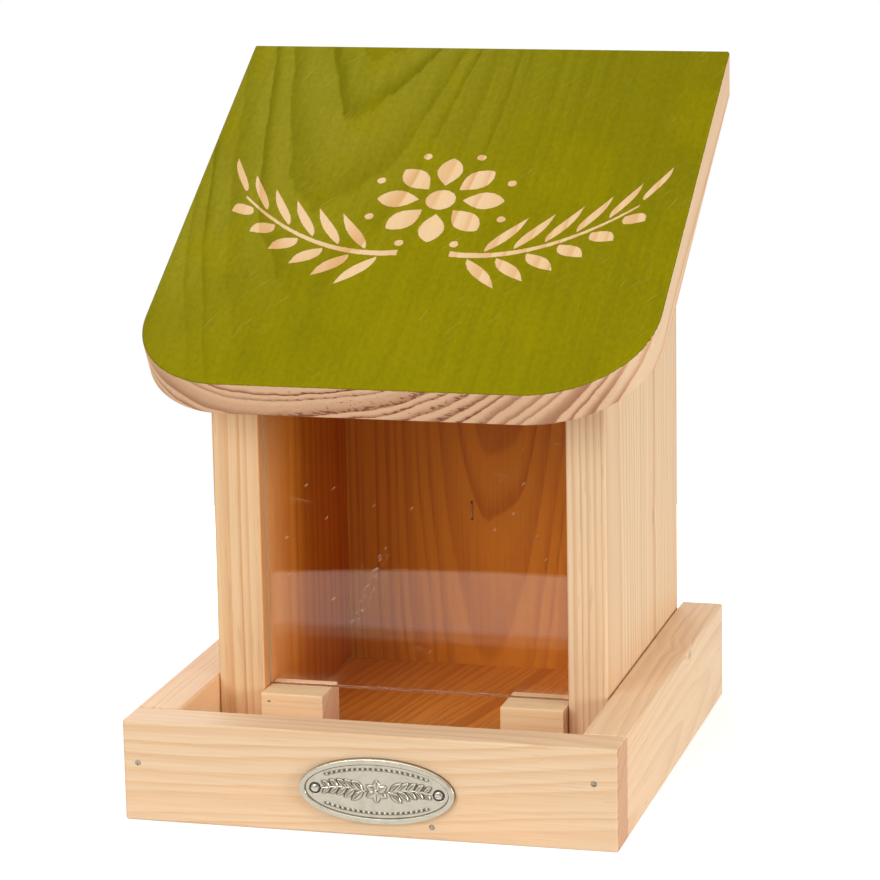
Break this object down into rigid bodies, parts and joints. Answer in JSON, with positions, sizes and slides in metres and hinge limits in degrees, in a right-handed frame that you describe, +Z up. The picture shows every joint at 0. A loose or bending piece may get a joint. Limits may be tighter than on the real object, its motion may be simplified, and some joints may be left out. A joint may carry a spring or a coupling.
{
  "type": "silo bird feeder",
  "caption": "Small wooden seed feeder: a hopper with a clear front pane stands in a low open tray under a sloping hinged roof, painted on top, that lifts for filling.",
  "frame": {"origin": "on the underside, under the middle of the whole object's box", "axes": "+Z up, +Y to the back of the feeder, +X to the right as seen from the front"},
  "size_m": [0.1674, 0.1758, 0.2268],
  "materials": {
    "pine": "bare planed pine, soft satin",
    "painted_roof": "pine with a brushed olive-green paint on the top face",
    "acrylic": "clear polished sheet",
    "cast_metal": "bright cast zinc alloy, worn satin",
    "nail_steel": "dull wire steel",
    "hinge_steel": "zinc-plated pressed steel"
  },
  "bodies": {
    "house": {"floor_board": "pine", "tray_front": "pine", "tray_side_left": "pine", "tray_side_right": "pine", "wall_left": "pine", "wall_right": "pine", "back_board": "pine", "pane_block_left": "pine", "pane_block_right": "pine", "oval_plate": "cast_metal", "plate_pins": "nail_steel", "tray_nails": "nail_steel", "floor_nails": "nail_steel", "block_nails": "nail_steel", "back_staple": "nail_steel", "hinge_leaf_back_left": "hinge_steel", "hinge_leaf_back_right": "hinge_steel", "hinge_pin_left": "hinge_steel", "hinge_pin_right": "hinge_steel", "hinge_screws_back": "hinge_steel"},
    "roof": {"roof_board": "painted_roof", "hinge_leaf_roof_left": "hinge_steel", "hinge_leaf_roof_right": "hinge_steel", "hinge_screws_roof": "hinge_steel"},
    "pane_sheet": {"pane": "acrylic"}
  },
  "joints": [
    {"name": "roof_hinge", "type": "hinge", "parent": "house", "child": "roof", "pos_m": [0, 0.0847, 0.21118], "axis": [-1, 0, 0], "range_deg": [0, 110]},
    {"name": "pane_slide", "type": "slide", "parent": "house", "child": "pane_sheet", "axis": [0, 0, 1], "range_m": [0, 0.005]}
  ]
}
